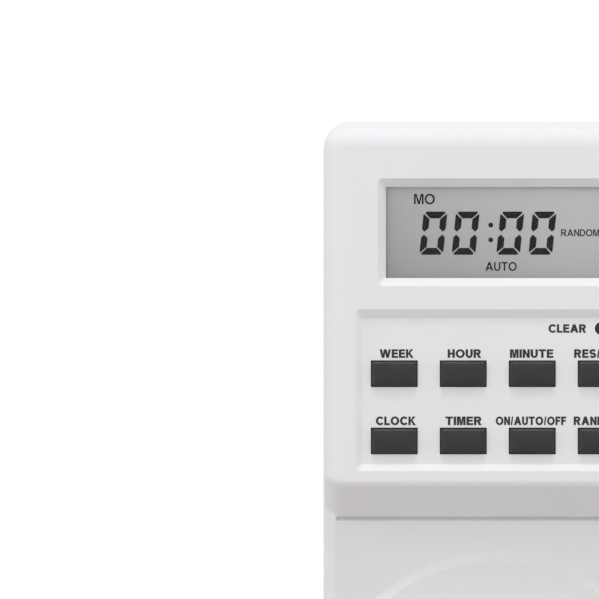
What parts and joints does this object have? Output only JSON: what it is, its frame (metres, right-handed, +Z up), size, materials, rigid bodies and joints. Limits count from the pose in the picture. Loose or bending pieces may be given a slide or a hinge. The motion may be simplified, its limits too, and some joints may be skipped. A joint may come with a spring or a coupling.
{
  "type": "plug-in timer switch",
  "caption": "Plug-in digital timer switch: a display and key panel above a round shuttered socket, with plug pins on the rear.",
  "frame": {"origin": "on the rear face that meets the wall socket, at the centre of the pin pattern", "axes": "+Y points out of the rear face along the plug pins, into the wall socket; +Z up along the body's length, towards the display; +X to the right seen from the front"},
  "size_m": [0.06, 0.0627, 0.1306],
  "materials": {
    "white_shell": "satin moulded polycarbonate",
    "charcoal_key": "fine matt moulded ABS",
    "clear_window": "clear polished window",
    "lcd_glass": "grey-green reflective display glass",
    "black_plastic": "moulded black plastic",
    "grey_rubber": "silicone rubber",
    "circuit_board": "solder-masked glass epoxy",
    "black_resin": "cast epoxy",
    "bright_can": "drawn can",
    "steel_can": "nickel-plated steel",
    "nickel_strip": "bare nickel strip",
    "relay_case": "moulded dark blue case",
    "yellow_case": "moulded yellow case",
    "grey_ceramic": "lacquered ceramic",
    "blue_coating": "dipped coating",
    "bronze_spring": "phosphor bronze",
    "brass_pin": "solid brass",
    "sleeve_plastic": "moulded insulating sleeve",
    "shutter_plastic": "moulded acetal",
    "spring_wire": "spring steel",
    "zinc_screw": "zinc-plated steel"
  },
  "bodies": {
    "housing": {"backup_battery": "steel_can", "battery_tab": "nickel_strip", "board_link": "black_plastic", "contact_block": "black_plastic", "control_board": "circuit_board", "control_chip": "black_resin", "control_screws": "zinc_screw", "display_window": "clear_window", "earth_contact": "bronze_spring", "earth_pin": "brass_pin", "electrolytic_capacitor": "bright_can", "film_capacitor": "yellow_case", "front_housing": "white_shell", "fuse_resistor": "grey_ceramic", "housing_screws": "zinc_screw", "keypad_mat": "grey_rubber", "lcd_carrier": "black_plastic", "lcd_panel": "lcd_glass", "live_contact": "bronze_spring", "live_pin": "brass_pin", "live_strap": "bronze_spring", "neutral_contact": "bronze_spring", "neutral_pin": "brass_pin", "neutral_strap": "bronze_spring", "pin_sleeves": "sleeve_plastic", "power_board": "circuit_board", "power_screws": "zinc_screw", "quartz_crystal": "bright_can", "rear_housing": "white_shell", "rectifier_diodes": "black_resin", "relay": "relay_case", "shutter_spring": "spring_wire", "switched_strap": "bronze_spring", "varistor": "blue_coating", "zebra_strips": "grey_rubber"},
    "shutter_guard": {"shutter": "shutter_plastic"},
    "week_key": {"key_week": "charcoal_key"},
    "hour_key": {"key_hour": "charcoal_key"},
    "minute_key": {"key_minute": "charcoal_key"},
    "recall_key": {"key_recall": "charcoal_key"},
    "clock_key": {"key_clock": "charcoal_key"},
    "timer_key": {"key_timer": "charcoal_key"},
    "mode_key": {"key_mode": "charcoal_key"},
    "random_key": {"key_random": "charcoal_key"},
    "clear_key": {"key_clear": "charcoal_key"}
  },
  "joints": [
    {"name": "week_press", "type": "slide", "parent": "housing", "child": "week_key", "axis": [0, 1, 0], "range_m": [0, 0.0009], "stiffness_N_per_m": 1200, "springref_m": -0.0002, "deforming": ["keypad_mat"]},
    {"name": "hour_press", "type": "slide", "parent": "housing", "child": "hour_key", "axis": [0, 1, 0], "range_m": [0, 0.0009], "stiffness_N_per_m": 1200, "springref_m": -0.0002, "deforming": ["keypad_mat"]},
    {"name": "minute_press", "type": "slide", "parent": "housing", "child": "minute_key", "axis": [0, 1, 0], "range_m": [0, 0.0009], "stiffness_N_per_m": 1200, "springref_m": -0.0002, "deforming": ["keypad_mat"]},
    {"name": "recall_press", "type": "slide", "parent": "housing", "child": "recall_key", "axis": [0, 1, 0], "range_m": [0, 0.0009], "stiffness_N_per_m": 1200, "springref_m": -0.0002, "deforming": ["keypad_mat"]},
    {"name": "clock_press", "type": "slide", "parent": "housing", "child": "clock_key", "axis": [0, 1, 0], "range_m": [0, 0.0009], "stiffness_N_per_m": 1200, "springref_m": -0.0002, "deforming": ["keypad_mat"]},
    {"name": "timer_press", "type": "slide", "parent": "housing", "child": "timer_key", "axis": [0, 1, 0], "range_m": [0, 0.0009], "stiffness_N_per_m": 1200, "springref_m": -0.0002, "deforming": ["keypad_mat"]},
    {"name": "mode_press", "type": "slide", "parent": "housing", "child": "mode_key", "axis": [0, 1, 0], "range_m": [0, 0.0009], "stiffness_N_per_m": 1200, "springref_m": -0.0002, "deforming": ["keypad_mat"]},
    {"name": "random_press", "type": "slide", "parent": "housing", "child": "random_key", "axis": [0, 1, 0], "range_m": [0, 0.0009], "stiffness_N_per_m": 1200, "springref_m": -0.0002, "deforming": ["keypad_mat"]},
    {"name": "clear_press", "type": "slide", "parent": "housing", "child": "clear_key", "axis": [0, 1, 0], "range_m": [0, 0.0009], "stiffness_N_per_m": 1200, "springref_m": -0.0002, "deforming": ["keypad_mat"]},
    {"name": "shutter_slide", "type": "slide", "parent": "housing", "child": "shutter_guard", "axis": [0, 0, -1], "range_m": [0, 0.0054], "stiffness_N_per_m": 60, "springref_m": -0.002, "deforming": ["shutter_spring"]}
  ]
}
